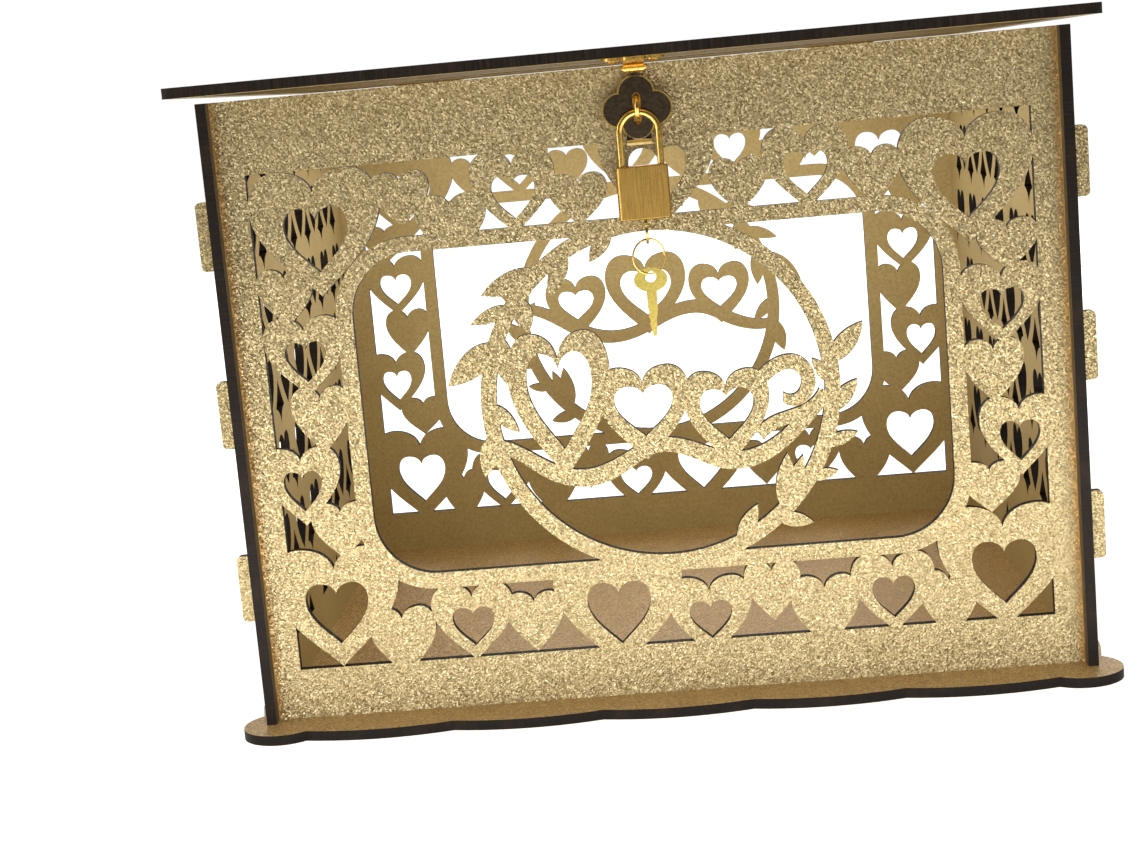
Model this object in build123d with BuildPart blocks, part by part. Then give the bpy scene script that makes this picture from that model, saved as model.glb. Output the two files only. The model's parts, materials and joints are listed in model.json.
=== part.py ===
from build123d import *
import math
import os

# ---------------------------------------------------------------------------
# Wedding card box: laser-cut 3 mm panels, hinged lid, hasp, staple, padlock.
# Frame: origin at the bottom centre of the base, +Z up, front face towards -Y.
# Millimetres.
# ---------------------------------------------------------------------------

# --- driving dimensions -----------------------------------------------------
T = 3.0                  # sheet thickness of every wooden panel
W_IN = 240.0             # clear width between the side panels
H_PANEL = 184.0          # height of the four walls
DEPTH = 240.0            # depth of the side panels
INSET = 5.0              # front and back walls stand this far inside the side panels' ends
LID_GAP = 2.0            # lid rests this far above the walls, on the hinge and hasp leaves
LID_W = 260.0
LID_FRONT = 131.5        # lid overhang, measured from the centre to its front edge
CARD_SLOT = (150.0, 12.0)

Z0 = T                   # underside of the walls = top of the base
ZTOP = Z0 + H_PANEL      # top edge of the walls
ZLID = ZTOP + LID_GAP    # underside of the lid
YF = -(DEPTH / 2 - INSET)  # outer face of the front wall
YB = -YF                   # outer face of the back wall

TAB_H = 20.0
TAB_Z = (41.0, 93.5, 146.0)      # centres of the side tabs above the base top
TAB_OUT = 4.5                    # tabs stand proud of the side panels
FOOT_X = (-55.0, 55.0)           # feet of the front and back walls in the base
FOOT_Y = (-60.0, 60.0)           # feet of the side walls in the base
FOOT_W = 22.0
FIT = 0.05                       # clearance round each tab

# base outline: convex scallops between cusps
CUSP = (22.0, 66.0, 110.0)
BASE_CX, BASE_CY = 125.5, 128.5
BULGE = 3.0

# fretwork field, window and wreath on the front and back walls
FX0, FX1, FZ0, FZ1 = -112.0, 112.0, 15.0, 162.7
WIN_X, WIN_Z0, WIN_Z1, WIN_R = 85.2, 41.5, 136.8, 18.0
BAND_X, BAND_Z0, BAND_Z1, BAND_R = 90.0, 36.8, 141.2, 22.0
RING_C = (1.9, 89.4)
RING_RO, RING_RI = 52.2, 47.6

# outlined hearts: centre x, outer width, outer top, outer tip, inner width, inner top, inner tip
OUTLINED = [
    (-93.1, 38.0, 162.6, 126.1, 18.8, 151.8, 133.1),
    (93.2, 38.0, 161.9, 125.7, 18.8, 151.1, 132.7),
    (-98.75, 38.0, 51.5, 15.2, 18.8, 40.8, 22.2),
    (98.1, 38.0, 49.0, 12.4, 18.8, 38.3, 19.4),
    (-15.0, 38.0, 45.5, 8.6, 18.8, 34.7, 15.8),
    (6.4, 33.0, 170.0, 137.5, 16.5, 160.4, 143.7),
    (-35.3, 24.5, 163.2, 139.2, 12.5, 155.9, 143.6),
    (48.3, 24.5, 162.8, 139.0, 12.5, 155.5, 143.3),
    (65.6, 24.5, 37.3, 13.4, 12.5, 30.0, 17.6),
    (11.7, 24.5, 34.2, 10.1, 12.5, 26.9, 15.4),
    (-58.6, 24.5, 37.6, 14.3, 12.5, 30.3, 18.6),
    (101.25, 24.0, 119.3, 95.9, 12.5, 112.0, 100.2),
    (104.5, 23.0, 80.7, 57.3, 11.5, 73.4, 61.6),
    (-100.1, 24.0, 120.6, 97.1, 12.0, 113.3, 101.4),
    (-105.1, 23.0, 82.3, 58.8, 11.3, 75.1, 63.1),
]
# solid hearts: centre x, width, top, tip
SOLID = [
    (-67.9, 17.0, 160.0, 144.3), (-54.0, 20.5, 152.4, 134.0), (-16.8, 17.0, 155.0, 140.0),
    (29.0, 16.5, 155.5, 140.0), (67.0, 16.0, 155.5, 139.5),
    (103.75, 17.4, 131.8, 117.0), (98.0, 17.5, 97.8, 79.0), (95.2, 17.5, 62.0, 47.0),
    (-104.0, 16.5, 135.0, 118.0), (-97.3, 17.5, 99.8, 80.0), (-95.0, 17.5, 65.0, 48.0),
    (81.8, 17.0, 31.0, 10.0), (45.5, 20.0, 32.0, 10.0), (30.4, 16.5, 37.6, 19.5),
    (-40.2, 17.0, 33.6, 15.5), (-80.0, 20.0, 32.0, 11.0),
]
# leaves of the wreath: base x, z, tip x, z, width
LEAVES = [
    (-8.3, 136.5, -15.3, 129.3, 5.0), (-32.0, 130.5, -47.4, 122.4, 7.0),
    (-40.4, 119.4, -51.2, 114.2, 4.5), (-46.7, 109.0, -59.4, 96.7, 8.0),
    (-20.6, 130.5, -27.6, 120.0, 5.5), (-34.9, 119.4, -34.5, 110.4, 6.0),
    (-40.4, 109.0, -42.2, 96.0, 6.0), (-45.3, 90.3, -39.9, 81.6, 4.5),
    (-49.4, 81.3, -51.0, 69.1, 6.0),
    (54.5, 95.1, 61.6, 105.8, 6.0), (50.0, 88.9, 46.4, 96.3, 4.0),
    (54.9, 79.9, 59.0, 89.2, 5.0), (51.7, 69.4, 58.2, 73.8, 4.0),
    (45.8, 59.7, 51.9, 62.8, 3.5), (33.3, 54.9, 37.5, 69.2, 6.0),
    (36.1, 53.5, 42.0, 68.2, 5.0), (20.1, 47.2, 27.8, 54.7, 5.0),
    (34.7, 48.6, 43.75, 48.1, 4.5),
]

# side wall lattice
SIDE_Y = 103.0
SIDE_PITCH_Y, SIDE_PITCH_Z = 29.4, 24.6

# butt hinges at the rear
HINGE_X = (-80.0, 80.0)
HINGE_W = 25.0
LEAF_T = 0.7
KNUCKLE_R = 1.6
PIN_R = 0.8
RUN = 0.05                       # running clearance of a pin in its knuckle
HINGE_Y = YB + 1.9
HINGE_Z = ZTOP + 1.0
SCREW_R = 0.8
HEAD_R, HEAD_H = 1.6, 0.9

# hasp on the lid, swinging flap
HASP_X = 2.0
HASP_T = 0.8
FLAP_Y, FLAP_Z = YF - 3.6, Z0 + 183.0     # flap hinge axis
FLAP_KR, FLAP_PR = 1.3, 0.5
FLAP_BACK = YF - 2.2                      # rear face of the flap
NECK_W = 5.8

# staple, padlock and keys
PAD_Y = YF - 6.0                          # plane of the padlock
EYE_Z0, EYE_Z1 = Z0 + 169.0, Z0 + 174.8   # centre lines of the staple's two legs
EYE_R = 0.7
SH_R = 0.95                               # shackle wire radius
SH_C = 5.55                               # shackle leg offset from the centre
SH_TOP = Z0 + 170.65                      # centre line at the top of the bow
BODY_W, BODY_D = 14.8, 6.0
BODY_Z0, BODY_Z1 = Z0 + 140.7, Z0 + 155.8
PLUG_R = 1.9
KEY_T = 0.7
RING_R, RING_WIRE = 4.95, 0.28
RING_TILT = 25.0                          # the split ring lies at this angle to the keys

os.makedirs("parts", exist_ok=True)


# --- outline helpers (drawn into the sketch that is open) --------------------
def heart(cx, w, top, tip, mode=Mode.ADD):
    """Heart outline, point down, drawn as Bezier arcs."""
    h = top - tip
    p = lambda u, v: (cx + u * w, tip + v * h)
    q = lambda u, v: (cx - u * w, tip + v * h)
    with BuildLine() as outline:
        for s in (p, q):
            Bezier(s(0, 0), s(0.13, 0.15), s(0.5, 0.40), s(0.5, 0.72))
            Bezier(s(0.5, 0.72), s(0.5, 0.89), s(0.40, 1.0), s(0.27, 1.0))
            Bezier(s(0.27, 1.0), s(0.13, 1.0), s(0.02, 0.93), s(0, 0.82))
    make_face(outline.edges(), mode=mode)


def leaf(x0, z0, x1, z1, w, mode=Mode.ADD):
    """Pointed leaf between two points."""
    dx, dz = x1 - x0, z1 - z0
    n = math.hypot(dx, dz)
    ux, uz = dx / n, dz / n
    nx, nz = -uz, ux
    f = lambda t, s: (x0 + dx * t + nx * s * w, z0 + dz * t + nz * s * w)
    with BuildLine() as outline:
        Bezier(f(0, 0), f(0.18, 0.62), f(0.62, 0.66), f(1, 0))
        Bezier(f(1, 0), f(0.62, -0.66), f(0.18, -0.62), f(0, 0))
    make_face(outline.edges(), mode=mode)


def stroke(points, widths, mode=Mode.ADD):
    """Calligraphic band along a smooth curve through the points."""
    n = len(points)
    left, right = [], []
    for i, (x, z) in enumerate(points):
        a = points[max(i - 1, 0)]
        b = points[min(i + 1, n - 1)]
        d = math.hypot(b[0] - a[0], b[1] - a[1])
        nx, nz = -(b[1] - a[1]) / d, (b[0] - a[0]) / d
        h = widths[i] / 2
        left.append((x + nx * h, z + nz * h))
        right.append((x - nx * h, z - nz * h))
    with BuildLine() as outline:
        a = Spline(*left)
        b = Spline(*right[::-1])
        Line(a @ 1, b @ 0)
        Line(b @ 1, a @ 0)
    make_face(outline.edges(), mode=mode)


def wreath_leaves():
    cx, cz = RING_C
    mid = (RING_RO + RING_RI) / 2
    for x0, z0, x1, z1, w in LEAVES:
        r = math.hypot(x0 - cx, z0 - cz)
        k = mid / r
        leaf(cx + (x0 - cx) * k, cz + (z0 - cz) * k, x1, z1, w)


def wall_outline():
    """Wall with its side tabs and feet, in its own plane: x across, y up from the base top."""
    with Locations((0, H_PANEL / 2)):
        Rectangle(W_IN, H_PANEL)
    for s in (-1, 1):
        for z in TAB_Z:
            with Locations((s * (W_IN / 2 + (T + TAB_OUT) / 2 - 1), z)):
                RectangleRounded(T + TAB_OUT + 2, TAB_H, 1.5)
    for x in FOOT_X:
        with Locations((x, -T / 2 + 0.5)):
            Rectangle(FOOT_W, T + 1.0)


def fretwork():
    """Heart fretwork field with the window frame, cut into the open wall sketch."""
    with Locations(((FX0 + FX1) / 2, (FZ0 + FZ1) / 2)):
        Rectangle(FX1 - FX0, FZ1 - FZ0, mode=Mode.SUBTRACT)
    with Locations((0, (BAND_Z0 + BAND_Z1) / 2)):
        RectangleRounded(2 * BAND_X, BAND_Z1 - BAND_Z0, BAND_R)
    for cx, w, top, tip in SOLID:
        heart(cx, w, top, tip)
    for cx, w, top, tip, wi, ti, pi in OUTLINED:
        heart(cx, w, top, tip)
    for cx, w, top, tip, wi, ti, pi in OUTLINED:
        heart(cx, wi, ti, pi, mode=Mode.SUBTRACT)
    with Locations((0, (WIN_Z0 + WIN_Z1) / 2)):
        RectangleRounded(2 * WIN_X, WIN_Z1 - WIN_Z0, WIN_R, mode=Mode.SUBTRACT)
    with Locations(RING_C):
        Circle(RING_RO)
        Circle(RING_RI, mode=Mode.SUBTRACT)
    wreath_leaves()


def ornament_front():
    """Three linked hearts on a running scroll, held by the wreath on both sides."""
    stroke([(-48.5, 78.5), (-40, 75), (-31, 69), (-21, 66.5), (-10, 70), (0, 74.5), (10, 72.5),
            (20, 68.5), (30, 69.5), (40, 76), (50.2, 85.5)],
           [3.6, 4.0, 4.8, 5.2, 4.8, 4.2, 4.6, 5.2, 4.8, 4.2, 3.6])
    heart(-27.0, 30.0, 110.0, 67.0)
    heart(-3.0, 27.0, 98.0, 70.5)
    heart(21.0, 25.0, 95.0, 67.5)
    heart(-27.0, 19.0, 104.0, 75.5, mode=Mode.SUBTRACT)
    heart(-3.0, 17.0, 92.4, 77.5, mode=Mode.SUBTRACT)
    heart(21.0, 15.5, 89.6, 74.5, mode=Mode.SUBTRACT)
    stroke([(30, 88), (35, 94.5), (41.5, 95.5), (45, 90.5), (42.5, 85.2), (37.5, 85.5)],
           [3.4, 4.2, 4.4, 4.2, 3.8, 3.2])
    stroke([(30, 75), (36, 79), (42, 80.5), (49, 86)], [3.4, 3.8, 4.0, 3.6])


def ornament_back():
    """A row of graded hearts on a double scroll."""
    stroke([(-48.6, 81), (-40, 80.5), (-30, 84), (-20, 89), (-8, 88), (4, 82.5), (16, 80), (28, 83),
            (40, 90), (51.5, 94)],
           [3.6, 4.2, 4.8, 5.2, 4.8, 4.4, 4.8, 5.0, 4.4, 3.6])
    heart(-27.0, 24.0, 106.0, 82.0)
    heart(1.9, 32.0, 112.0, 80.0)
    heart(30.0, 24.0, 105.0, 81.0)
    heart(-27.0, 14.0, 100.5, 88.5, mode=Mode.SUBTRACT)
    heart(1.9, 20.0, 105.5, 87.5, mode=Mode.SUBTRACT)
    heart(30.0, 14.0, 99.5, 88.0, mode=Mode.SUBTRACT)


# --- base -------------------------------------------------------------------
with BuildPart() as base_plate:
    with BuildSketch():
        with BuildLine():
            pts = [(-CUSP[2], -BASE_CY), (-CUSP[1], -BASE_CY), (-CUSP[0], -BASE_CY),
                   (CUSP[0], -BASE_CY), (CUSP[1], -BASE_CY), (CUSP[2], -BASE_CY)]
            ring = []
            for k in range(4):
                a = math.radians(90 * k)
                bx, by = (BASE_CX, BASE_CY) if k % 2 == 0 else (BASE_CY, BASE_CX)
                for x, _ in pts:
                    y = -by
                    ring.append((x * math.cos(a) - y * math.sin(a), x * math.sin(a) + y * math.cos(a)))
            m = len(ring)
            for i in range(m):
                p0, p1 = ring[i], ring[(i + 1) % m]
                mx, my = (p0[0] + p1[0]) / 2, (p0[1] + p1[1]) / 2
                if i % 6 == 5:
                    sx, sy = math.copysign(1, mx), math.copysign(1, my)
                    mid_pt = (sx * 124.6, sy * 129.4)
                else:
                    d = math.hypot(mx, my)
                    ox, oy = (0, math.copysign(1, my)) if abs(my) > abs(mx) else (math.copysign(1, mx), 0)
                    mid_pt = (mx + ox * BULGE, my + oy * BULGE)
                ThreePointArc(p0, mid_pt, p1)
        make_face()
        for y in (YF + T / 2, YB - T / 2):
            with Locations(*[(x, y) for x in FOOT_X]):
                Rectangle(FOOT_W + 2 * FIT, T + 2 * FIT, mode=Mode.SUBTRACT)
        for s in (-1, 1):
            with Locations(*[(s * (W_IN / 2 + T / 2), y) for y in FOOT_Y]):
                Rectangle(T + 2 * FIT, FOOT_W + 2 * FIT, mode=Mode.SUBTRACT)
    extrude(amount=T)
base_plate.part.label = "base_plate"
export_step(base_plate.part, "parts/base_plate.step")

# --- front and back walls -----------------------------------------------------
front_plane = Plane(origin=(0, YF, Z0), x_dir=(1, 0, 0), z_dir=(0, -1, 0))
back_plane = Plane(origin=(0, YB, Z0), x_dir=(-1, 0, 0), z_dir=(0, 1, 0))
STAPLE_SCREW_Z = (Z0 + 166.4, Z0 + 178.2)

with BuildPart() as front_panel:
    with BuildSketch(front_plane):
        wall_outline()
        fretwork()
        ornament_front()
        with Locations(*[(HASP_X, z - Z0) for z in STAPLE_SCREW_Z]):
            Circle(SCREW_R, mode=Mode.SUBTRACT)
        with Locations((HASP_X, EYE_Z0 - Z0), (HASP_X, EYE_Z1 - Z0)):
            Circle(EYE_R, mode=Mode.SUBTRACT)
    extrude(amount=-T)
front_panel.part.label = "front_panel"
export_step(front_panel.part, "parts/front_panel.step")

with BuildPart() as back_panel:
    with BuildSketch(back_plane):
        wall_outline()
        fretwork()
        ornament_back()
        with Locations(*[(-x + s * 7.5, ZTOP - Z0 - 7.0) for x in HINGE_X for s in (-1, 1)]):
            Circle(SCREW_R, mode=Mode.SUBTRACT)
    extrude(amount=-T)
back_panel.part.label = "back_panel"
export_step(back_panel.part, "parts/back_panel.step")


# --- side walls ---------------------------------------------------------------
def side_wall():
    """Side wall in its own plane: x along the depth, y up from the base top."""
    with Locations((0, H_PANEL / 2)):
        Rectangle(DEPTH, H_PANEL)
    for x in FOOT_Y:
        with Locations((x, -T / 2 + 0.5)):
            Rectangle(FOOT_W, T + 1.0)
    with Locations((0, (FZ0 + FZ1) / 2)):
        Rectangle(2 * SIDE_Y, FZ1 - FZ0, mode=Mode.SUBTRACT)
    cells = []
    for r in range(7):
        zc = FZ0 + 2.0 + r * SIDE_PITCH_Z
        off = 0.0 if r % 2 == 0 else SIDE_PITCH_Y / 2
        for c in range(-4, 5):
            y = c * SIDE_PITCH_Y + off
            if abs(y) < SIDE_Y + 6:
                cells.append((y, zc))
    for y, z in cells:
        heart(y, 33.0, z + 21.0, z - 11.0)
    with Locations((0, H_PANEL - (H_PANEL - FZ1) / 2)):
        Rectangle(DEPTH, H_PANEL - FZ1)
    with Locations((0, H_PANEL + 10)):
        Rectangle(DEPTH, 20, mode=Mode.SUBTRACT)
    with Locations((0, FZ0 / 2)):
        Rectangle(DEPTH, FZ0)
    for s in (-1, 1):
        with Locations((s * (SIDE_Y + DEPTH / 2) / 2, H_PANEL / 2)):
            Rectangle(DEPTH / 2 - SIDE_Y, H_PANEL)
    for y, z in cells:
        if abs(y) < SIDE_Y - 8 and FZ0 + 1 < z - 5.0 and z + 12.5 < FZ1:
            heart(y, 17.5, z + 12.5, z - 4.5, mode=Mode.SUBTRACT)
    for y in (YF + T / 2, YB - T / 2):
        with Locations(*[(y, z) for z in TAB_Z]):
            Rectangle(T + 2 * FIT, TAB_H + 2 * FIT, mode=Mode.SUBTRACT)


right_plane = Plane(origin=(W_IN / 2 + T, 0, Z0), x_dir=(0, 1, 0), z_dir=(1, 0, 0))
left_plane = Plane(origin=(-W_IN / 2, 0, Z0), x_dir=(0, 1, 0), z_dir=(1, 0, 0))

with BuildPart() as right_panel:
    with BuildSketch(right_plane):
        side_wall()
    extrude(amount=-T)
right_panel.part.label = "right_panel"
export_step(right_panel.part, "parts/right_panel.step")

with BuildPart() as left_panel:
    with BuildSketch(left_plane):
        side_wall()
    extrude(amount=-T)
left_panel.part.label = "left_panel"
export_step(left_panel.part, "parts/left_panel.step")

# --- lid ----------------------------------------------------------------------
HASP_SCREWS = [(HASP_X - 5.6, YF - 9.3), (HASP_X + 5.6, YF - 9.3)]
LID_LEAF_SCREW_Y = YB - 7.5
with BuildPart() as lid_panel:
    with BuildSketch(Plane.XY.offset(ZLID)):
        with Locations((0, (YB - LID_FRONT) / 2)):
            RectangleRounded(LID_W, YB + LID_FRONT, 3.0)
        SlotOverall(CARD_SLOT[0], CARD_SLOT[1], mode=Mode.SUBTRACT)
        with Locations(*HASP_SCREWS):
            Circle(SCREW_R, mode=Mode.SUBTRACT)
        with Locations(*[(x + s * 7.5, LID_LEAF_SCREW_Y) for x in HINGE_X for s in (-1, 1)]):
            Circle(SCREW_R, mode=Mode.SUBTRACT)
    extrude(amount=T)
lid_panel.part.label = "lid_panel"
export_step(lid_panel.part, "parts/lid_panel.step")

# --- butt hinges ----------------------------------------------------------------
for side, hx in (("left", HINGE_X[0]), ("right", HINGE_X[1])):
    seg = (HINGE_W - 2 * 0.2) / 3
    axis_plane = Plane(origin=(hx - HINGE_W / 2, HINGE_Y, HINGE_Z), x_dir=(0, 1, 0), z_dir=(1, 0, 0))
    with BuildPart() as body_leaf:
        with BuildSketch(Plane(origin=(hx, YB, 0), x_dir=(-1, 0, 0), z_dir=(0, 1, 0))):
            with Locations((0, ZTOP - 7.0 + 1.0 / 2)):
                RectangleRounded(HINGE_W, 13.0, 0.8)
            for s in (-1, 1):
                with Locations((s * 7.5, ZTOP - 7.0)):
                    Circle(SCREW_R, mode=Mode.SUBTRACT)
        extrude(amount=LEAF_T)
        with BuildSketch(axis_plane):
            Circle(KNUCKLE_R)
        extrude(amount=seg)
        with BuildSketch(axis_plane.offset(HINGE_W - seg)):
            Circle(KNUCKLE_R)
        extrude(amount=seg)
        # room for the other leaf's knuckle
        with BuildSketch(axis_plane.offset(seg)):
            Circle(KNUCKLE_R + 0.15)
        extrude(amount=seg + 0.4, mode=Mode.SUBTRACT)
        with BuildSketch(axis_plane):
            Circle(PIN_R)
        extrude(amount=HINGE_W, mode=Mode.SUBTRACT)
    body_leaf.part.label = f"{side}_hinge_body_leaf"
    export_step(body_leaf.part, f"parts/{side}_hinge_body_leaf.step")

    with BuildPart() as lid_leaf:
        with BuildSketch(Plane.XY.offset(ZLID - LEAF_T)):
            with Locations((hx, (YB - 12.0 + HINGE_Y) / 2)):
                Rectangle(HINGE_W, HINGE_Y - YB + 12.0)
            for s in (-1, 1):
                with Locations((hx + s * 7.5, LID_LEAF_SCREW_Y)):
                    Circle(SCREW_R, mode=Mode.SUBTRACT)
        extrude(amount=LEAF_T)
        # the leaf is cut back beside the centre knuckle
        for s in (-1, 1):
            with BuildSketch(Plane(origin=(hx + s * (seg / 2 + 0.1 + (HINGE_W - seg) / 4), 0, 0))):
                with Locations((0, HINGE_Y - 1.4 + 2.0)):
                    Rectangle((HINGE_W - seg) / 2 + 0.2 - 0.0, 7.2)
            extrude(amount=ZLID + 2, mode=Mode.SUBTRACT)
        with BuildSketch(axis_plane.offset(seg + 0.2)):
            Circle(KNUCKLE_R)
        extrude(amount=seg)
        with BuildSketch(axis_plane):
            Circle(PIN_R + RUN)
        extrude(amount=HINGE_W, mode=Mode.SUBTRACT)
    lid_leaf.part.label = f"{side}_hinge_lid_leaf"
    export_step(lid_leaf.part, f"parts/{side}_hinge_lid_leaf.step")

    with BuildPart() as hinge_pin:
        with BuildSketch(axis_plane.offset(-0.5)):
            Circle(PIN_R)
        extrude(amount=HINGE_W + 1.0)
        with BuildSketch(axis_plane.offset(-0.9)):
            Circle(1.15)
        extrude(amount=0.9)
        with BuildSketch(axis_plane.offset(HINGE_W)):
            Circle(1.15)
        extrude(amount=0.9)
    hinge_pin.part.label = f"{side}_hinge_pin"
    export_step(hinge_pin.part, f"parts/{side}_hinge_pin.step")


def screw_group(places, length, slot_dir):
    """Dome-headed slotted screws. Each place is a plane whose z axis points out of the head."""
    for pl in places:
        with BuildSketch(pl.offset(-length)) as shank:
            Circle(SCREW_R)
        extrude(shank.sketch, amount=length)
        with BuildSketch(Plane(origin=pl.origin, x_dir=pl.z_dir, z_dir=pl.x_dir)) as dome:
            with BuildLine():
                Line((0, 0), (0, HEAD_R))
                Line((0, HEAD_R), (0.25, HEAD_R))
                ThreePointArc((0.25, HEAD_R), (HEAD_H - 0.22, HEAD_R * 0.62), (HEAD_H, 0))
                Line((HEAD_H, 0), (0, 0))
            make_face()
        revolve(dome.sketch, axis=Axis(pl.origin, pl.z_dir))
        with BuildSketch(pl.offset(HEAD_H - 0.35)) as slot:
            Rectangle(2 * HEAD_R + 1, 0.45, rotation=slot_dir)
        extrude(slot.sketch, amount=1.0, mode=Mode.SUBTRACT)


with BuildPart() as hinge_body_screws:
    screw_group([Plane(origin=(x + s * 7.5, YB + LEAF_T, ZTOP - 7.0), x_dir=(1, 0, 0), z_dir=(0, 1, 0))
                 for x in HINGE_X for s in (-1, 1)], LEAF_T + 2.6, 20)
hinge_body_screws.part.label = "hinge_body_screws"
export_step(hinge_body_screws.part, "parts/hinge_body_screws.step")

with BuildPart() as hinge_lid_screws:
    screw_group([Plane(origin=(x + s * 7.5, LID_LEAF_SCREW_Y, ZLID - LEAF_T), x_dir=(1, 0, 0), z_dir=(0, 0, -1))
                 for x in HINGE_X for s in (-1, 1)], LEAF_T + 2.6, 70)
hinge_lid_screws.part.label = "hinge_lid_screws"
export_step(hinge_lid_screws.part, "parts/hinge_lid_screws.step")

# --- hasp: lid leaf, flap and pin -------------------------------------------------
flap_axis = Plane(origin=(HASP_X - NECK_W / 2, FLAP_Y, FLAP_Z), x_dir=(0, 1, 0), z_dir=(1, 0, 0))
MID_W = 2.4
SIDE_W = (NECK_W - MID_W - 0.3) / 2

with BuildPart() as hasp_lid_leaf:
    with BuildSketch(Plane.XY.offset(ZLID - HASP_T)):
        with Locations((HASP_X - 5.0, YF - 9.3), (HASP_X + 5.0, YF - 9.3)):
            Circle(3.9)
        with Locations((HASP_X, YF - 11.6)):
            Circle(3.9)
        with Locations((HASP_X, YF - 6.4)):
            Rectangle(NECK_W, 8.2)
        with Locations(*HASP_SCREWS):
            Circle(SCREW_R, mode=Mode.SUBTRACT)
    extrude(amount=HASP_T)
    # neck bent down from the leaf to the knuckles
    with BuildSketch(flap_axis):
        with Locations((0.85, (ZLID - FLAP_Z) / 2 + 0.0)):
            Rectangle(0.8, ZLID - FLAP_Z)
    extrude(amount=NECK_W)
    with BuildSketch(flap_axis):
        Circle(FLAP_KR)
    extrude(amount=NECK_W)
    with BuildSketch(flap_axis.offset(SIDE_W)):
        Circle(FLAP_KR + 0.2)
    extrude(amount=MID_W + 0.3, mode=Mode.SUBTRACT)
    with BuildSketch(flap_axis):
        Circle(FLAP_PR)
    extrude(amount=NECK_W, mode=Mode.SUBTRACT)
hasp_lid_leaf.part.label = "hasp_lid_leaf"
export_step(hasp_lid_leaf.part, "parts/hasp_lid_leaf.step")

with BuildPart() as hasp_pin:
    with BuildSketch(flap_axis.offset(-0.3)):
        Circle(FLAP_PR)
    extrude(amount=NECK_W + 0.6)
    with BuildSketch(flap_axis.offset(-0.5)):
        Circle(0.8)
    extrude(amount=0.5)
    with BuildSketch(flap_axis.offset(NECK_W)):
        Circle(0.8)
    extrude(amount=0.5)
hasp_pin.part.label = "hasp_pin"
export_step(hasp_pin.part, "parts/hasp_pin.step")

flap_plane = Plane(origin=(HASP_X, FLAP_BACK, 0), x_dir=(1, 0, 0), z_dir=(0, -1, 0))


def flap_outline(grow=0.0):
    with Locations((-5.0, Z0 + 171.5), (5.0, Z0 + 171.5)):
        Circle(4.95 + grow)
    with Locations((0, Z0 + 175.8)):
        Circle(5.3 + grow)
    with Locations((0, Z0 + 170.5)):
        Circle(6.0 + grow)
    with Locations((0, Z0 + 167.4)):
        Circle(4.6 + grow)


with BuildPart() as hasp_flap:
    with BuildSketch(flap_plane):
        flap_outline()
        with Locations((0, Z0 + 181.0)):
            Rectangle(MID_W, 5.0)
        with Locations((0, (Z0 + 167.3 + Z0 + 176.2) / 2)):
            SlotOverall(8.9, 2.3, rotation=90, mode=Mode.SUBTRACT)
    extrude(amount=HASP_T)
    # raised rim
    with BuildSketch(flap_plane.offset(HASP_T)):
        flap_outline()
        with Locations((-5.0, Z0 + 171.5), (5.0, Z0 + 171.5)):
            Circle(4.25, mode=Mode.SUBTRACT)
        with Locations((0, Z0 + 175.8)):
            Circle(4.6, mode=Mode.SUBTRACT)
        with Locations((0, Z0 + 170.5)):
            Circle(5.3, mode=Mode.SUBTRACT)
        with Locations((0, Z0 + 167.4)):
            Circle(3.9, mode=Mode.SUBTRACT)
    extrude(amount=0.25)
    # finger lip rolled forward at the bottom
    with BuildSketch(Plane(origin=(HASP_X, FLAP_BACK, 0), x_dir=(0, 1, 0), z_dir=(1, 0, 0)).offset(-3.6)):
        with BuildLine():
            zb = Z0 + 163.4
            Line((0, zb + 1.2), (0, zb))
            ThreePointArc((0, zb), (-0.62, zb - 1.35), (-2.0, zb - 1.9))
            Line((-2.0, zb - 1.9), (-2.0, zb - 1.2))
            ThreePointArc((-2.0, zb - 1.2), (-1.1, zb - 0.8), (-0.8, zb))
            Line((-0.8, zb), (-0.8, zb + 1.2))
            Line((-0.8, zb + 1.2), (0, zb + 1.2))
        make_face()
    extrude(amount=7.2)
    with BuildSketch(flap_axis.offset(SIDE_W + 0.15)):
        Circle(FLAP_KR)
    extrude(amount=MID_W)
    with BuildSketch(flap_axis.offset(SIDE_W + 0.15)):
        Circle(FLAP_PR + RUN)
    extrude(amount=MID_W, mode=Mode.SUBTRACT)
hasp_flap.part.label = "hasp_flap"
export_step(hasp_flap.part, "parts/hasp_flap.step")

with BuildPart() as hasp_screws:
    screw_group([Plane(origin=(x, y, ZLID - HASP_T), x_dir=(1, 0, 0), z_dir=(0, 0, -1)) for x, y in HASP_SCREWS],
                HASP_T + 2.6, 35)
hasp_screws.part.label = "hasp_screws"
export_step(hasp_screws.part, "parts/hasp_screws.step")

# --- staple on the front wall ---------------------------------------------------------
with BuildPart() as staple_plate:
    with BuildSketch(Plane(origin=(HASP_X, YF, 0), x_dir=(1, 0, 0), z_dir=(0, -1, 0))):
        with Locations((0, (STAPLE_SCREW_Z[0] + STAPLE_SCREW_Z[1]) / 2)):
            RectangleRounded(6.0, 16.4, 2.2)
        for z in STAPLE_SCREW_Z:
            with Locations((0, z)):
                Circle(SCREW_R, mode=Mode.SUBTRACT)
        for z in (EYE_Z0, EYE_Z1):
            with Locations((0, z)):
                Circle(EYE_R, mode=Mode.SUBTRACT)
    extrude(amount=0.5)
staple_plate.part.label = "staple_plate"
export_step(staple_plate.part, "parts/staple_plate.step")

with BuildPart() as staple_screws:
    screw_group([Plane(origin=(HASP_X, YF - 0.5, z), x_dir=(1, 0, 0), z_dir=(0, -1, 0)) for z in STAPLE_SCREW_Z],
                0.5 + 2.6, 10)
staple_screws.part.label = "staple_screws"
export_step(staple_screws.part, "parts/staple_screws.step")

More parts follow.
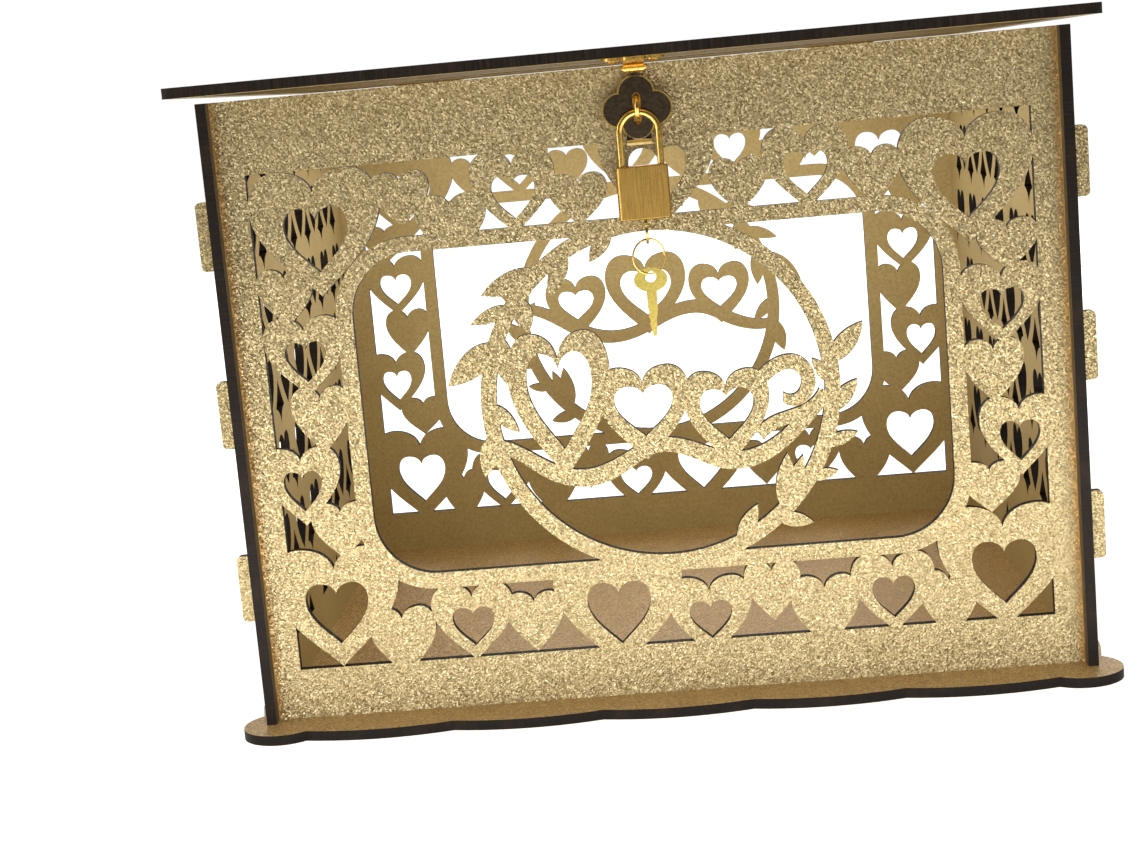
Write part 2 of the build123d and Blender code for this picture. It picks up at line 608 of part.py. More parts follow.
EYE_END = YF - 6.3
with BuildPart() as staple_eye:
    with BuildLine() as eye_path:
        Line((HASP_X, YF + T - 0.3, EYE_Z0), (HASP_X, EYE_END, EYE_Z0))
        ThreePointArc((HASP_X, EYE_END, EYE_Z0),
                      (HASP_X, EYE_END - (EYE_Z1 - EYE_Z0) / 2, (EYE_Z0 + EYE_Z1) / 2),
                      (HASP_X, EYE_END, EYE_Z1))
        Line((HASP_X, EYE_END, EYE_Z1), (HASP_X, YF + T - 0.3, EYE_Z1))
    with BuildSketch(Plane(origin=(HASP_X, YF + T - 0.3, EYE_Z0), x_dir=(1, 0, 0), z_dir=(0, -1, 0))):
        Circle(EYE_R)
    sweep(path=eye_path.wires()[0])
staple_eye.part.label = "staple_eye"
export_step(staple_eye.part, "parts/staple_eye.step")

# --- padlock ---------------------------------------------------------------------------
SH_ARC_Z = SH_TOP - SH_C
HEEL_Z = BODY_Z0 + 2.4          # lower end of the long leg
TOE_Z = BODY_Z1 - 4.6           # lower end of the short leg
HOLE_R = SH_R + 0.06
BOLT_Z = BODY_Z1 - 2.6
with BuildPart() as padlock_shackle:
    with BuildLine() as bow:
        Line((HASP_X - SH_C, PAD_Y, HEEL_Z), (HASP_X - SH_C, PAD_Y, SH_ARC_Z))
        ThreePointArc((HASP_X - SH_C, PAD_Y, SH_ARC_Z), (HASP_X, PAD_Y, SH_TOP), (HASP_X + SH_C, PAD_Y, SH_ARC_Z))
        Line((HASP_X + SH_C, PAD_Y, SH_ARC_Z), (HASP_X + SH_C, PAD_Y, TOE_Z))
    with BuildSketch(Plane.XY.offset(HEEL_Z)):
        with Locations((HASP_X - SH_C, PAD_Y)):
            Circle(SH_R)
    sweep(path=bow.wires()[0])
    # notch for the bolt in the inner side of the short leg
    with BuildSketch(Plane(origin=(HASP_X + SH_C - SH_R + 0.25, PAD_Y, BOLT_Z - 0.3), x_dir=(1, 0, 0), z_dir=(0, 0, 1)).offset(-0.9)):
        Rectangle(0.6, 3.0)
    extrude(amount=1.8, mode=Mode.SUBTRACT)
padlock_shackle.part.label = "padlock_shackle"
export_step(padlock_shackle.part, "parts/padlock_shackle.step")

BOLT_L, BOLT_TRAVEL = 2.6, 2.2
bolt_tip = HASP_X + SH_C - SH_R + 0.5
with BuildPart() as padlock_body:
    with BuildSketch(Plane.XY.offset(BODY_Z0)):
        with Locations((HASP_X, PAD_Y)):
            RectangleRounded(BODY_W, BODY_D, 1.5)
    extrude(amount=BODY_Z1 - BODY_Z0)
    chamfer(padlock_body.faces().sort_by(Axis.Z)[0].edges() + padlock_body.faces().sort_by(Axis.Z)[-1].edges(), 0.3)
    # shackle holes
    with BuildSketch(Plane.XY.offset(BODY_Z0 + 1.2)):
        with Locations((HASP_X - SH_C, PAD_Y)):
            Circle(HOLE_R)
    extrude(amount=BODY_Z1 - BODY_Z0, mode=Mode.SUBTRACT)
    with BuildSketch(Plane.XY.offset(TOE_Z - 0.4)):
        with Locations((HASP_X + SH_C, PAD_Y)):
            Circle(HOLE_R)
    extrude(amount=10, mode=Mode.SUBTRACT)
    # plug bore from below
    with BuildSketch(Plane.XY.offset(BODY_Z0 - 0.1)):
        with Locations((HASP_X, PAD_Y)):
            Circle(PLUG_R + RUN)
    extrude(amount=9.5, mode=Mode.SUBTRACT)
    # bolt channel between the two shackle holes
    with BuildSketch(Plane(origin=(0, PAD_Y, BOLT_Z), x_dir=(0, 1, 0), z_dir=(1, 0, 0)).offset(bolt_tip - BOLT_L - BOLT_TRAVEL - 0.3)):
        Rectangle(1.9, 1.3)
    extrude(amount=BOLT_L + BOLT_TRAVEL + 0.3 - 0.2, mode=Mode.SUBTRACT)
padlock_body.part.label = "padlock_body"
export_step(padlock_body.part, "parts/padlock_body.step")

with BuildPart() as lock_bolt:
    with BuildSketch(Plane(origin=(bolt_tip, PAD_Y, BOLT_Z), x_dir=(0, 1, 0), z_dir=(-1, 0, 0))):
        Rectangle(1.7, 1.1)
    extrude(amount=BOLT_L)
lock_bolt.part.label = "lock_bolt"
export_step(lock_bolt.part, "parts/lock_bolt.step")

with BuildPart() as lock_plug:
    with BuildSketch(Plane.XY.offset(BODY_Z0 + 0.1)):
        with Locations((HASP_X, PAD_Y)):
            Circle(PLUG_R)
            Rectangle(KEY_T + 0.1, 3.1, mode=Mode.SUBTRACT)
    extrude(amount=9.0)
    with BuildSketch(Plane.XY.offset(BODY_Z0 + 8.2)):
        with Locations((HASP_X, PAD_Y)):
            Circle(PLUG_R)
    extrude(amount=0.9)
lock_plug.part.label = "lock_plug"
export_step(lock_plug.part, "parts/lock_plug.step")

with BuildPart() as shackle_spring:
    with BuildSketch(Plane.XY.offset(BODY_Z0 + 1.25)):
        with Locations((HASP_X - SH_C, PAD_Y)):
            Circle(0.85)
            Circle(0.5, mode=Mode.SUBTRACT)
    extrude(amount=HEEL_Z - BODY_Z0 - 1.3)
shackle_spring.part.label = "shackle_spring"
export_step(shackle_spring.part, "parts/shackle_spring.step")


# --- keys and ring -----------------------------------------------------------------------
KEY_BOW_W, KEY_BOW_H, KEY_HOLE = 9.6, 7.0, 1.6
KEY1_HOLE, KEY2_HOLE = -1.2, 0.8          # height of each key's hole from the middle of its bow


def key_outline():
    """Flat key: bow on top around y = 0, blade pointing down to y = -16."""
    Ellipse(KEY_BOW_W / 2, KEY_BOW_H / 2)
    with BuildLine() as blade:
        Polyline((-1.5, -2.6), (1.5, -2.6), (1.45, -5.2), (1.3, -9.0), (0.75, -12.0), (0.9, -13.0), (0.5, -16.2),
                 (-0.4, -16.2), (-1.2, -12.5), (-0.9, -11.6), (-1.35, -10.4), (-1.1, -9.4), (-1.45, -8.2),
                 (-1.5, -2.6))
    make_face(blade.edges())
    with Locations((0, KEY2_HOLE)):
        Circle(KEY_HOLE, mode=Mode.SUBTRACT)


KEY1_C = Z0 + 137.15
# the key in the lock points up: its blade is inside the plug, its bow hangs below
key1_plane = Plane(origin=(HASP_X + KEY_T / 2, PAD_Y, KEY1_C), x_dir=(0, 1, 0), z_dir=(1, 0, 0))
with BuildPart() as lock_key:
    with BuildSketch(key1_plane):
        Ellipse(KEY_BOW_W / 2, KEY_BOW_H / 2)
        with Locations((0, 6.4)):
            Rectangle(2.9, 7.6)
        with Locations((0, KEY1_HOLE)):
            Circle(KEY_HOLE, mode=Mode.SUBTRACT)
    extrude(amount=-KEY_T)
lock_key.part.label = "lock_key"
export_step(lock_key.part, "parts/lock_key.step")

RING_TOP = KEY1_C + KEY1_HOLE - KEY_HOLE + RING_WIRE + 0.35
RING_CZ = RING_TOP - RING_R
ca, sa = math.cos(math.radians(RING_TILT)), math.sin(math.radians(RING_TILT))
with BuildPart() as key_ring:
    with BuildSketch(Plane(origin=(HASP_X, PAD_Y, RING_CZ), x_dir=(ca, sa, 0), z_dir=(0, 0, 1))):
        with Locations((RING_R, 0)):
            Circle(RING_WIRE)
    revolve(axis=Axis((HASP_X, PAD_Y, RING_CZ), (sa, -ca, 0)))
key_ring.part.label = "key_ring"
export_step(key_ring.part, "parts/key_ring.step")

KEY2_HOLE_TOP = RING_CZ - RING_R + 0.8
KEY2_C = KEY2_HOLE_TOP - KEY_HOLE - KEY2_HOLE
with BuildPart() as spare_key:
    with BuildSketch(Plane(origin=(HASP_X, PAD_Y - 0.3, KEY2_C), x_dir=(1, 0, 0), z_dir=(0, -1, 0))):
        key_outline()
    extrude(amount=-0.6)
spare_key.part.label = "spare_key"
export_step(spare_key.part, "parts/spare_key.step")

print("flap axis", FLAP_Y, FLAP_Z, "hinge axis", HINGE_Y, HINGE_Z, "pad", PAD_Y, "ring", RING_CZ, RING_TOP, "key2", KEY2_C, "bolt", BOLT_Z)
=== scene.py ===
import json
import math

import bmesh
import bpy
from mathutils import Matrix, Vector

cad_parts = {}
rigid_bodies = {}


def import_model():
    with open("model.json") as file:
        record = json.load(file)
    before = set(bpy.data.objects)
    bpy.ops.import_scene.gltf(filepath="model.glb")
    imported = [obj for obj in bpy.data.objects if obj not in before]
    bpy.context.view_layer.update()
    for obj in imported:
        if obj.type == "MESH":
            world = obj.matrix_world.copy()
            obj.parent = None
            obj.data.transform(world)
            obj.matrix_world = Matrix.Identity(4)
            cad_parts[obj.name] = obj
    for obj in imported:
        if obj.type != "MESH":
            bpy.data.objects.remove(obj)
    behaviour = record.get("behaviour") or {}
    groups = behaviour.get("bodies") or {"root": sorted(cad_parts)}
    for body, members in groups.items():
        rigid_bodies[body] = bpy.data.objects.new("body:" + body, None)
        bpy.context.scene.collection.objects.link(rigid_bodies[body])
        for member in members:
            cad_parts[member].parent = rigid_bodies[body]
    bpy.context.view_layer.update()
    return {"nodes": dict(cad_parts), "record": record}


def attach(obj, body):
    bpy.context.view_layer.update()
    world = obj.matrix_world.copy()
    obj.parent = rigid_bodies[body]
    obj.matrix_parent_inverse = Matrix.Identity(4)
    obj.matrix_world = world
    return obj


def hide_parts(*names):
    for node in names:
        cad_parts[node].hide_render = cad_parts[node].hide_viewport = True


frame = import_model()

scene = bpy.context.scene
NODES = frame["nodes"]
BODY_OF = {n: b for b, members in frame["record"]["behaviour"]["bodies"].items() for n in members}

for leftover in list(bpy.data.objects):
    if leftover.type in {"MESH", "LIGHT", "CAMERA"} and leftover.name not in NODES:
        bpy.data.objects.remove(leftover)

# ---------------------------------------------------------------- node helpers


def material(name):
    m = bpy.data.materials.new(name)
    m.use_nodes = True
    tree = m.node_tree
    tree.nodes.clear()
    out = tree.nodes.new("ShaderNodeOutputMaterial")
    bsdf = tree.nodes.new("ShaderNodeBsdfPrincipled")
    tree.links.new(bsdf.outputs[0], out.inputs["Surface"])
    return m, tree, bsdf


def put(tree, socket, value):
    if isinstance(value, bpy.types.NodeSocket):
        tree.links.new(value, socket)
    elif value is not None:
        socket.default_value = value


def math_node(tree, op, a, b=None, clamp=False):
    n = tree.nodes.new("ShaderNodeMath")
    n.operation = op
    n.use_clamp = clamp
    put(tree, n.inputs[0], a)
    put(tree, n.inputs[1], b)
    return n.outputs[0]


def vec_node(tree, op, a, b=None, scale=None):
    n = tree.nodes.new("ShaderNodeVectorMath")
    n.operation = op
    put(tree, n.inputs[0], a)
    put(tree, n.inputs[1], b)
    if scale is not None:
        put(tree, n.inputs["Scale"], scale)
    return n.outputs["Value"] if op in {"LENGTH", "DOT_PRODUCT"} else n.outputs[0]


def coords(tree, scale=(1, 1, 1)):
    tc = tree.nodes.new("ShaderNodeTexCoord")
    if scale == (1, 1, 1):
        return tc.outputs["Object"]
    return vec_node(tree, "MULTIPLY", tc.outputs["Object"], scale)


def noise(tree, vector, scale, detail=2.0, rough=0.5):
    n = tree.nodes.new("ShaderNodeTexNoise")
    put(tree, n.inputs["Vector"], vector)
    n.inputs["Scale"].default_value = scale
    n.inputs["Detail"].default_value = detail
    n.inputs["Roughness"].default_value = rough
    return n.outputs["Fac"]


def voronoi(tree, vector, scale, feature="F1"):
    n = tree.nodes.new("ShaderNodeTexVoronoi")
    n.feature = feature
    put(tree, n.inputs["Vector"], vector)
    n.inputs["Scale"].default_value = scale
    return n


def ramp(tree, fac, stops, interpolation="LINEAR"):
    n = tree.nodes.new("ShaderNodeValToRGB")
    n.color_ramp.interpolation = interpolation
    while len(n.color_ramp.elements) > 1:
        n.color_ramp.elements.remove(n.color_ramp.elements[-1])
    n.color_ramp.elements[0].position = stops[0][0]
    n.color_ramp.elements[0].color = (*stops[0][1], 1)
    for at, colour in stops[1:]:
        n.color_ramp.elements.new(at).color = (*colour, 1)
    put(tree, n.inputs["Fac"], fac)
    return n.outputs["Color"]


def remap(tree, value, a, b, c=0.0, d=1.0):
    n = tree.nodes.new("ShaderNodeMapRange")
    put(tree, n.inputs["Value"], value)
    n.inputs["From Min"].default_value = a
    n.inputs["From Max"].default_value = b
    n.inputs["To Min"].default_value = c
    n.inputs["To Max"].default_value = d
    return n.outputs["Result"]


def mix(tree, fac, a, b, blend="MIX"):
    n = tree.nodes.new("ShaderNodeMix")
    n.data_type = "RGBA"
    n.blend_type = blend
    put(tree, n.inputs[0], fac)
    put(tree, n.inputs[6], a if isinstance(a, bpy.types.NodeSocket) else (*a, 1))
    put(tree, n.inputs[7], b if isinstance(b, bpy.types.NodeSocket) else (*b, 1))
    return n.outputs[2]


def bump(tree, height, strength, distance, normal=None):
    n = tree.nodes.new("ShaderNodeBump")
    n.inputs["Strength"].default_value = strength
    n.inputs["Distance"].default_value = distance
    put(tree, n.inputs["Height"], height)
    put(tree, n.inputs["Normal"], normal)
    return n.outputs[0]


# ---------------------------------------------------------------- board


def glitter_material(name, scorch_and_shade_axis=None, cast=(1.0, 1.0, 1.0), metallic=0.55):
    """Champagne glitter film: flakes about half a millimetre across, each with its own tone and tilt."""
    m, t, b = material(name)
    p = coords(t)
    flakes = voronoi(t, p, 2500)
    fine = voronoi(t, p, 4300)
    split = t.nodes.new("ShaderNodeSeparateColor")
    t.links.new(flakes.outputs["Color"], split.inputs[0])
    split2 = t.nodes.new("ShaderNodeSeparateColor")
    t.links.new(fine.outputs["Color"], split2.inputs[0])
    tone = math_node(t, "ADD", math_node(t, "MULTIPLY", split.outputs[0], 0.72), math_node(t, "MULTIPLY", split2.outputs[1], 0.28))
    tones = [
        (0.00, (0.105, 0.073, 0.027)),
        (0.22, (0.215, 0.159, 0.068)),
        (0.50, (0.330, 0.253, 0.120)),
        (0.78, (0.440, 0.351, 0.182)),
        (0.92, (0.640, 0.530, 0.312)),
        (1.00, (1.000, 0.950, 0.720)),
    ]
    colour = ramp(t, tone, [(at, tuple(min(1.0, c * k) for c, k in zip(shade, cast))) for at, shade in tones])
    patchy = noise(t, p, 38, 4, 0.6)
    colour = mix(t, remap(t, patchy, 0.35, 0.75, 0.0, 0.16), colour, (0.255, 0.190, 0.075))
    # Near the panel's vertical side edges the glitter turns browner: laser scorch together with painted shade of the
    # slot gap where the panel meets the side walls.
    if scorch_and_shade_axis is not None:
        xyz = t.nodes.new("ShaderNodeSeparateXYZ")
        t.links.new(p, xyz.inputs[0])
        away = math_node(t, "ABSOLUTE", xyz.outputs[scorch_and_shade_axis])
        wobble = math_node(t, "MULTIPLY", noise(t, p, 130, 3), 0.0022)
        edge = remap(t, math_node(t, "ADD", away, wobble), 0.1186, 0.1212, 0.0, 0.60)
        edge = math_node(t, "MULTIPLY", edge, math_node(t, "LESS_THAN", away, 0.12005))
        colour = mix(t, edge, colour, (0.42, 0.20, 0.035))
    put(t, b.inputs["Base Color"], colour)
    put(t, b.inputs["Roughness"], remap(t, split.outputs[1], 0.0, 1.0, 0.30, 0.52))
    b.inputs["Metallic"].default_value = metallic
    b.inputs["Specular IOR Level"].default_value = 0.3
    tilt = vec_node(t, "SCALE", vec_node(t, "SUBTRACT", flakes.outputs["Color"], (0.5, 0.5, 0.5)), scale=0.50)
    geo = t.nodes.new("ShaderNodeNewGeometry")
    n = vec_node(t, "NORMALIZE", vec_node(t, "ADD", geo.outputs["Normal"], tilt))
    put(t, b.inputs["Normal"], bump(t, fine.outputs["Distance"], 0.25, 0.00008, n))
    return m


def plain_board_material(name, smoke_and_shade_ends=False, shade=1.0):
    """Bare fibreboard: even brown with fine fibres and a little smoke from the cutting; with smoky ends, the ends near
    the front and back panels are darkened as laser smoke together with painted shade of the nook there.
    """
    m, t, b = material(name)
    p = coords(t)
    fibre = noise(t, p, 900, 5, 0.65)
    broad = noise(t, p, 16, 4, 0.55)
    tones = [(0.25, (0.395, 0.290, 0.115)), (0.5, (0.500, 0.378, 0.160)), (0.78, (0.610, 0.475, 0.220))]
    colour = ramp(t, fibre, [(at, tuple(c * shade for c in tone)) for at, tone in tones])
    colour = mix(t, remap(t, broad, 0.45, 0.78, 0.0, 0.40), colour, (0.270, 0.175, 0.062))
    specks = voronoi(t, p, 420)
    colour = mix(t, remap(t, specks.outputs["Distance"], 0.10, 0.16, 0.30, 0.0), colour, (0.22, 0.12, 0.04))
    # Painted shade plus laser smoke: the inner face darkens towards its front and back ends, in the nook between the
    # side wall and the front and back panels.
    if smoke_and_shade_ends:
        xyz = t.nodes.new("ShaderNodeSeparateXYZ")
        t.links.new(p, xyz.inputs[0])
        away = math_node(t, "ADD", math_node(t, "ABSOLUTE", xyz.outputs[1]), math_node(t, "MULTIPLY", noise(t, p, 160, 3), 0.0016))
        colour = mix(t, remap(t, away, 0.1152, 0.1172, 0.0, 0.90), colour, (0.045, 0.026, 0.013))
    put(t, b.inputs["Base Color"], colour)
    put(t, b.inputs["Roughness"], remap(t, fibre, 0.3, 0.7, 0.52, 0.72))
    b.inputs["Specular IOR Level"].default_value = 0.10
    put(t, b.inputs["Normal"], bump(t, fibre, 0.25, 0.00006))
    return m


def burnt_material(axis, label="", light_gain=1.0):
    """Laser-cut edge: nearly black, with fine lines across the sheet and a browner lip."""
    m, t, b = material("burnt_edge_" + "xyz"[axis] + label)
    stretch = [1.0, 1.0, 1.0]
    stretch[axis] = 0.06
    lines = noise(t, coords(t, tuple(stretch)), 1500, 3, 0.6)
    soot = noise(t, coords(t), 90, 4, 0.6)
    tones = [(0.28, (0.0045, 0.0030, 0.0022)), (0.55, (0.0110, 0.0070, 0.0045)), (0.80, (0.0300, 0.0175, 0.0095))]
    colour = ramp(t, lines, [(at, tuple(c * light_gain for c in tone)) for at, tone in tones])
    colour = mix(t, remap(t, soot, 0.50, 0.80, 0.0, 0.5), colour, (0.036, 0.020, 0.010))
    put(t, b.inputs["Base Color"], colour)
    put(t, b.inputs["Roughness"], remap(t, lines, 0.3, 0.7, 0.45, 0.75))
    b.inputs["Specular IOR Level"].default_value = 0.12
    put(t, b.inputs["Normal"], bump(t, lines, 0.35, 0.00012))
    return m


glitter_front = glitter_material("glitter_face_scorched_and_shaded", 0)
glitter = glitter_material("glitter_face")
# Painted sheen: the base plate's glitter is a brighter, warmer copy of the same glitter (cast 1.45/1.18/0.86),
# standing in for the golden sheen of the base top seen at a grazing angle.
glitter_base = glitter_material("glitter_face_base", cast=(1.45, 1.18, 0.86), metallic=0.20)
plain = plain_board_material("fibreboard_face")
plain_smoke_and_shade = plain_board_material("fibreboard_face_smoked_and_shaded", True)
plain_shaded = plain_board_material("fibreboard_lid_underside", shade=0.52)
burnt = [burnt_material(k) for k in range(3)]
# Painted light and shade: the lid's edges are a lighter copy (x1.2) and the base's edges a darker copy (x0.7) of the
# same burnt edge.
burnt_lid = burnt_material(2, "_lid", 1.2)
burnt_base = burnt_material(2, "_base", 0.7)


def face_board(node, outward, face, back=plain, edge=None):
    o = NODES[node]
    axis = max(range(3), key=lambda k: abs(outward[k]))
    o.data.materials.clear()
    for m in (face, back, edge or burnt[axis]):
        o.data.materials.append(m)
    side = Vector(outward)
    for poly in o.data.polygons:
        d = poly.normal.dot(side)
        poly.material_index = 0 if d > 0.9 else 1 if d < -0.9 else 2


face_board("front_panel", (0, -1, 0), glitter_front)
face_board("back_panel", (0, 1, 0), glitter_front)
face_board("left_panel", (-1, 0, 0), glitter, plain_smoke_and_shade)
face_board("right_panel", (1, 0, 0), glitter, plain_smoke_and_shade)
face_board("base_plate", (0, 0, 1), glitter_base, edge=burnt_base)
face_board("lid_panel", (0, 0, 1), glitter, plain_shaded, burnt_lid)

# ---------------------------------------------------------------- metal


def brass_material(name, base, rough, grain=(1, 1, 1), grain_scale=900, dirt=(0.20, 0.11, 0.03), dirt_amount=0.35):
    """Thin golden plating: fine drawn grain, uneven polish and a little tarnish."""
    m, t, b = material(name)
    p = coords(t)
    lines = noise(t, coords(t, grain), grain_scale, 4, 0.6)
    cloud = noise(t, p, 210, 4, 0.6)
    light = tuple(min(1.0, c * 1.12) for c in base)
    dark = tuple(c * 0.80 for c in base)
    colour = ramp(t, lines, [(0.3, dark), (0.55, base), (0.8, light)])
    colour = mix(t, remap(t, cloud, 0.50, 0.80, 0.0, dirt_amount), colour, dirt)
    put(t, b.inputs["Base Color"], colour)
    b.inputs["Metallic"].default_value = 1.0
    put(t, b.inputs["Roughness"], remap(t, math_node(t, "ADD", math_node(t, "MULTIPLY", lines, 0.5), math_node(t, "MULTIPLY", cloud, 0.5)), 0.3, 0.7, rough * 0.75, rough * 1.35))
    put(t, b.inputs["Normal"], bump(t, lines, 0.12, 0.00003))
    return m


brushed = brass_material("brushed_gold", (0.52, 0.315, 0.078), 0.27, (1, 1, 0.05), 2600, dirt_amount=0.25)
polished = brass_material("polished_gold", (0.82, 0.54, 0.14), 0.16, dirt_amount=0.18)
rough_plate = brass_material("plated_brass", (0.66, 0.41, 0.10), 0.25, dirt_amount=0.35)
key_brass = brass_material("key_brass", (0.70, 0.54, 0.13), 0.24, (1, 0.2, 1), 1500, dirt_amount=0.30)
# Painted reflection: the flap's polished face gets a dark brass colour standing in for the dark room it reflects.
painted_dark_reflection = brass_material("gold_with_painted_dark_reflection", (0.145, 0.106, 0.064), 0.18, dirt=(0.062, 0.042, 0.025), dirt_amount=0.5)
lip_gold = brass_material("lip_gold", (0.95, 0.70, 0.26), 0.36, dirt_amount=0.12)
lip_gold.node_tree.nodes["Principled BSDF"].inputs["Metallic"].default_value = 0.35
steel = brass_material("plain_steel", (0.55, 0.54, 0.52), 0.30, (1, 1, 0.1), 1800, dirt=(0.25, 0.24, 0.22), dirt_amount=0.3)


def refine(node, mat, bevel=0.00012, segments=2, angle=32, smooth=38, merge=True):
    """The CAD node's own surface with its hard corners slightly rounded, as stamped and cast brass has them."""
    src = NODES[node]
    bm = bmesh.new()
    bm.from_mesh(src.data)
    bmesh.ops.remove_doubles(bm, verts=bm.verts, dist=2e-6)
    if merge:
        bmesh.ops.dissolve_limit(bm, angle_limit=math.radians(0.5), verts=bm.verts, edges=bm.edges, use_dissolve_boundaries=False)
    for f in bm.faces:
        f.smooth = True
    mesh = bpy.data.meshes.new(node + "_finish")
    bm.to_mesh(mesh)
    bm.free()
    for layer in ("custom_normal",):
        if layer in mesh.attributes:
            mesh.attributes.remove(mesh.attributes[layer])
    mesh.set_sharp_from_angle(angle=math.radians(smooth))
    o = bpy.data.objects.new(node + "_finish", mesh)
    scene.collection.objects.link(o)
    mesh.materials.clear()
    mesh.materials.append(mat)
    if bevel:
        mod = o.modifiers.new("rounded", "BEVEL")
        mod.limit_method = "ANGLE"
        mod.angle_limit = math.radians(angle)
        mod.width = bevel
        mod.segments = segments
        mod.use_clamp_overlap = True
        mod.harden_normals = True
    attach(o, BODY_OF[node])
    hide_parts(node)
    return o


body = refine("padlock_body", brushed, 0.00045, 3)
shackle = refine("padlock_shackle", polished, 0.0)
flap = refine("hasp_flap", rough_plate, 0.0, merge=False)
# The flap's front face takes the painted dark reflection; its lower lip takes lip gold.
flap.data.materials.append(painted_dark_reflection)
flap.data.materials.append(lip_gold)
inner = {}
for poly in flap.data.polygons:
    ys = [flap.data.vertices[v].co.y for v in poly.vertices]
    if abs(poly.normal.y) < 0.1 and min(ys) > -0.11827 and max(ys) < -0.11798:
        for v in poly.vertices:
            inner[v] = inner.get(v, Vector()) + poly.normal
for v, n in inner.items():
    flap.data.vertices[v].co -= n.normalized() * 0.00030
flap.data.update()
for poly in flap.data.polygons:
    c = poly.center
    if poly.normal.y < -0.9 and -0.11812 < c.y < -0.11790:
        poly.material_index = 1
    elif c.z < 0.16665 and c.y < -0.1181:
        poly.material_index = 2
refine("hasp_lid_leaf", rough_plate, 0.00008)
refine("hasp_pin", rough_plate, 0.0)
refine("hasp_screws", rough_plate, 0.00008)
refine("staple_plate", rough_plate, 0.00008)
refine("staple_eye", polished, 0.0)
refine("staple_screws", rough_plate, 0.00008)
refine("hinge_body_screws", rough_plate, 0.00008)
refine("hinge_lid_screws", rough_plate, 0.00008)
for side in ("left", "right"):
    refine(side + "_hinge_body_leaf", rough_plate, 0.00008)
    refine(side + "_hinge_lid_leaf", rough_plate, 0.00008)
    refine(side + "_hinge_pin", rough_plate, 0.0)
refine("lock_plug", brushed, 0.00006)
refine("lock_key", key_brass, 0.00006)
refine("spare_key", key_brass, 0.00006)
refine("key_ring", polished, 0.0)
for node in ("lock_bolt", "shackle_spring"):
    NODES[node].data.materials.clear()
    NODES[node].data.materials.append(steel)

# ---------------------------------------------------------------- floor, light, camera

floor_mesh = bpy.data.meshes.new("floor")
bm = bmesh.new()
ring = [bm.verts.new((3.2 * math.cos(a * math.tau / 64), 0.6 + 3.2 * math.sin(a * math.tau / 64), -0.0002)) for a in range(64)]
bm.faces.new(ring)
bm.to_mesh(floor_mesh)
bm.free()
floor = bpy.data.objects.new("floor", floor_mesh)
scene.collection.objects.link(floor)
fm, ft, fb = material("pale_floor")
put(ft, fb.inputs["Base Color"], ramp(ft, noise(ft, coords(ft), 6, 2), [(0.3, (0.86, 0.86, 0.86)), (0.7, (0.90, 0.90, 0.90))]))
fb.inputs["Roughness"].default_value = 0.8
# Painted light: the floor glows, with emission 0.62 near the box rising to 1.0 further out, so it lights the lower
# walls and stays white.
fb.inputs["Emission Color"].default_value = (1, 1, 1, 1)
reach = vec_node(ft, "LENGTH", coords(ft))
put(ft, fb.inputs["Emission Strength"], remap(ft, reach, 0.14, 0.55, 0.62, 1.0))
floor_mesh.materials.append(fm)

world = bpy.data.worlds.new("studio")
scene.world = world
world.use_nodes = True
wt = world.node_tree
wt.nodes.clear()
wout = wt.nodes.new("ShaderNodeOutputWorld")
seen = wt.nodes.new("ShaderNodeBackground")
seen.inputs["Color"].default_value = (1, 1, 1, 1)
seen.inputs["Strength"].default_value = 1.02
lit = wt.nodes.new("ShaderNodeBackground")
lit.inputs["Color"].default_value = (1.0, 0.985, 0.96, 1)
direction = wt.nodes.new("ShaderNodeTexCoord")
parts = wt.nodes.new("ShaderNodeSeparateXYZ")
wt.links.new(direction.outputs["Generated"], parts.inputs[0])
wt.links.new(remap(wt, parts.outputs[1], -0.95, -0.35, 0.10, 0.25), lit.inputs["Strength"])
path = wt.nodes.new("ShaderNodeLightPath")
blend = wt.nodes.new("ShaderNodeMixShader")
wt.links.new(path.outputs["Is Camera Ray"], blend.inputs[0])
wt.links.new(lit.outputs[0], blend.inputs[1])
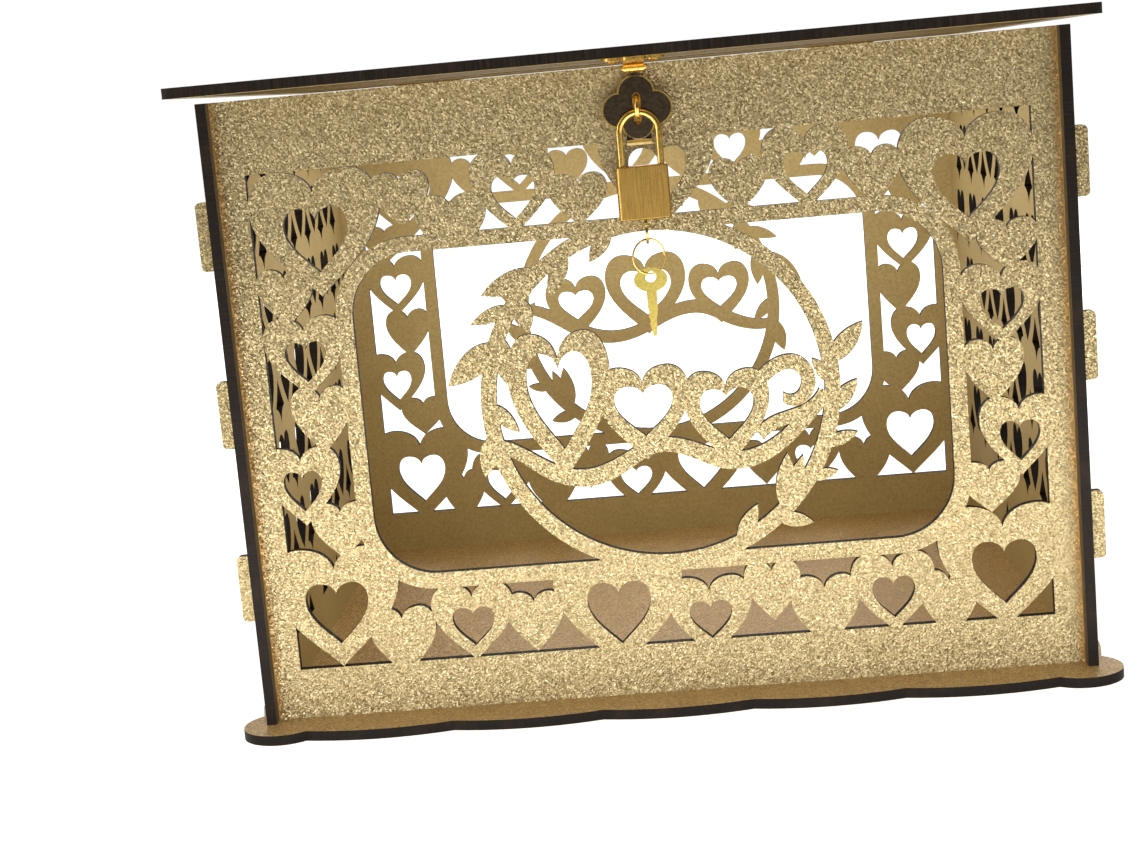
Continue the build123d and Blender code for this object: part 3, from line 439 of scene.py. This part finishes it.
wt.links.new(seen.outputs[0], blend.inputs[2])
wt.links.new(blend.outputs[0], wout.inputs["Surface"])


def soft_light(name, place, aim, size, watts, colour=(1, 1, 1)):
    data = bpy.data.lights.new(name, "AREA")
    data.shape = "RECTANGLE"
    data.size, data.size_y = size
    data.energy = watts
    data.color = colour
    o = bpy.data.objects.new(name, data)
    o.location = place
    o.rotation_mode = "QUATERNION"
    o.rotation_quaternion = (Vector(aim) - Vector(place)).to_track_quat("-Z", "Y")
    scene.collection.objects.link(o)
    o.visible_camera = False
    return o


soft_light("key", (-0.85, -0.55, 0.85), (0, 0, 0.08), (0.5, 0.5), 1.1)
soft_light("top", (0.15, 0.15, 1.5), (0, 0, 0), (1.4, 1.4), 12)
soft_light("behind", (0.1, 1.5, 0.7), (0, 0, 0.1), (1.4, 0.9), 8)
soft_light("front_glow", (0.0, -0.225, 0.004), (0.0, -0.165, 0.05), (0.50, 0.11), 0.96)
soft_light("side_strip", (-0.60, -0.30, 0.22), (0.0, -0.12, 0.15), (0.10, 0.45), 0.9)
soft_light("inside_glow", (0.0, 0.0, 0.180), (0.0, 0.0, 0.0), (0.20, 0.18), 0.19)

camera_data = bpy.data.cameras.new("camera")
camera_data.lens = 66.322
camera_data.sensor_width = 36.0
camera_data.sensor_fit = "HORIZONTAL"
camera_data.shift_x = 0.02
camera_data.shift_y = 0.03
camera_data.clip_start = 0.02
camera_data.clip_end = 20
camera = bpy.data.objects.new("camera", camera_data)
right = Vector((0.9946774932844176, 0.05058367288951246, -0.0897662319050642))
down = Vector((-0.07941290040419252, -0.17875438084993384, -0.9806836710052586))
ahead = Vector((-0.0656526892276376, 0.9825925724144077, -0.1737859632801672))
turn = Matrix((right, -down, -ahead)).transposed().to_4x4()
camera.matrix_world = Matrix.Translation((0.00634, -0.71432, 0.1822)) @ turn
scene.collection.objects.link(camera)
scene.camera = camera

scene.view_settings.view_transform = "Standard"
scene.view_settings.look = "None"
scene.view_settings.exposure = 0.0
scene.view_settings.gamma = 1.0
